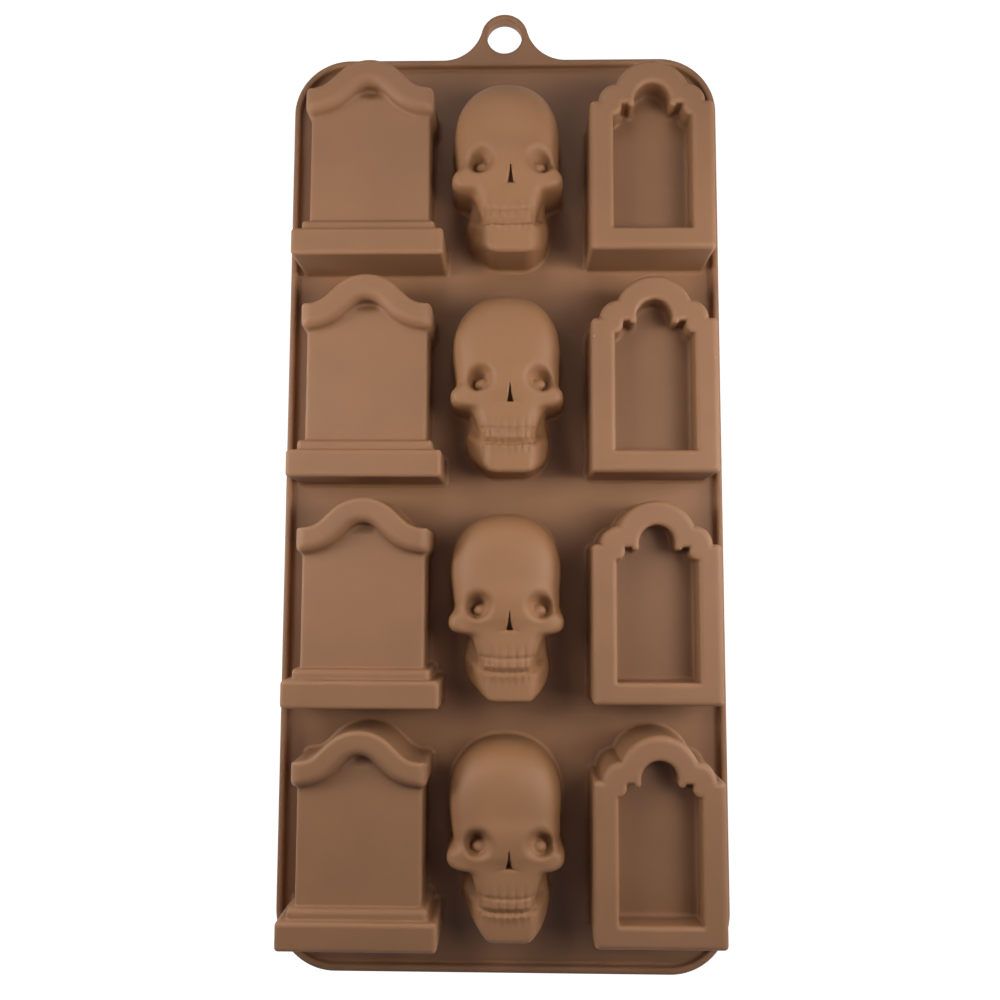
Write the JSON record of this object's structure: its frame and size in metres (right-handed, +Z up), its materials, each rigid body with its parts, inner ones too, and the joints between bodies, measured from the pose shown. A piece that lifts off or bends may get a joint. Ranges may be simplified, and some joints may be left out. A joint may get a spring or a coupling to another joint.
{
  "type": "silicone chocolate mould",
  "caption": "Flexible silicone mould tray with headstone, skull and arched frame cavities, a raised rim and a hang tab.",
  "frame": {"origin": "middle of the box's lowest face: on the plane of the cavity mouths, on which the mould stands", "axes": "+Z up from the cavity mouths to the cups' closed ends, +Y to the hang tab, +X from the headstone column to the arch column"},
  "size_m": [0.105, 0.232, 0.0181],
  "materials": {
    "silicone": "matte, softly satin"
  },
  "bodies": {
    "row_1": {"sheet_row_1": "silicone", "rim_row_1": "silicone", "hang_tab": "silicone", "headstone_cup_1": "silicone", "skull_cup_1": "silicone", "arch_cup_1": "silicone"},
    "row_2": {"sheet_row_2": "silicone", "rim_left_row_2": "silicone", "rim_right_row_2": "silicone", "headstone_cup_2": "silicone", "skull_cup_2": "silicone", "arch_cup_2": "silicone"},
    "row_3": {"sheet_row_3": "silicone", "rim_left_row_3": "silicone", "rim_right_row_3": "silicone", "headstone_cup_3": "silicone", "skull_cup_3": "silicone", "arch_cup_3": "silicone"},
    "row_4": {"sheet_row_4": "silicone", "rim_row_4": "silicone", "headstone_cup_4": "silicone", "skull_cup_4": "silicone", "arch_cup_4": "silicone"}
  },
  "joints": [
    {"name": "web_1_flex", "type": "hinge", "parent": "row_2", "child": "row_1", "pos_m": [0, 0.0465, 0.00075], "axis": [1, 0, 0], "range_deg": [-40, 14], "stiffness_Nm_per_rad": 0.02},
    {"name": "web_2_flex", "type": "hinge", "parent": "row_2", "child": "row_3", "pos_m": [0, -0.0052, 0.00075], "axis": [-1, 0, 0], "range_deg": [-40, 14], "stiffness_Nm_per_rad": 0.02},
    {"name": "web_3_flex", "type": "hinge", "parent": "row_3", "child": "row_4", "pos_m": [0, -0.0569, 0.00075], "axis": [-1, 0, 0], "range_deg": [-40, 14], "stiffness_Nm_per_rad": 0.02}
  ]
}
